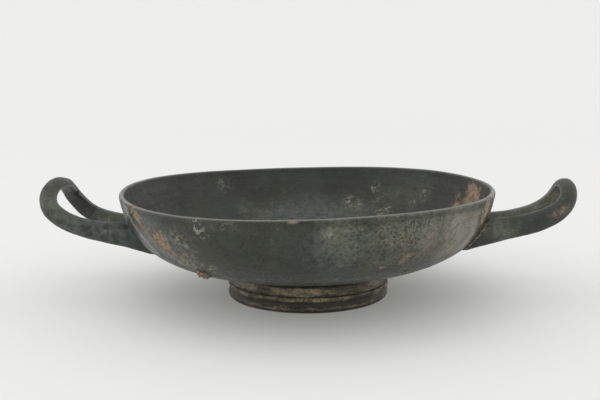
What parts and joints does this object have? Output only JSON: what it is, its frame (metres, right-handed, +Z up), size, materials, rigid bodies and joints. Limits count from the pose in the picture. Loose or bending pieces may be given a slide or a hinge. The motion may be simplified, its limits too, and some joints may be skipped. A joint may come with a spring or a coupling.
{
  "type": "kylix cup",
  "caption": "Low stemless drinking cup of fired clay: shallow bowl on a moulded ring foot, with upturned loop handles at its sides, worn dark slip.",
  "frame": {"origin": "centre of the foot, on the surface that the cup stands on", "axes": "+X through the handles, +Z up, +Y away from the side that the picture shows"},
  "size_m": [0.2618, 0.185, 0.0584],
  "materials": {
    "worn_black_slip": "fired clay under a worn, half-glossy greenish-black slip, with patches of bare orange clay"
  },
  "bodies": {
    "root": {"kylix_cup": "worn_black_slip"}
  },
  "joints": []
}
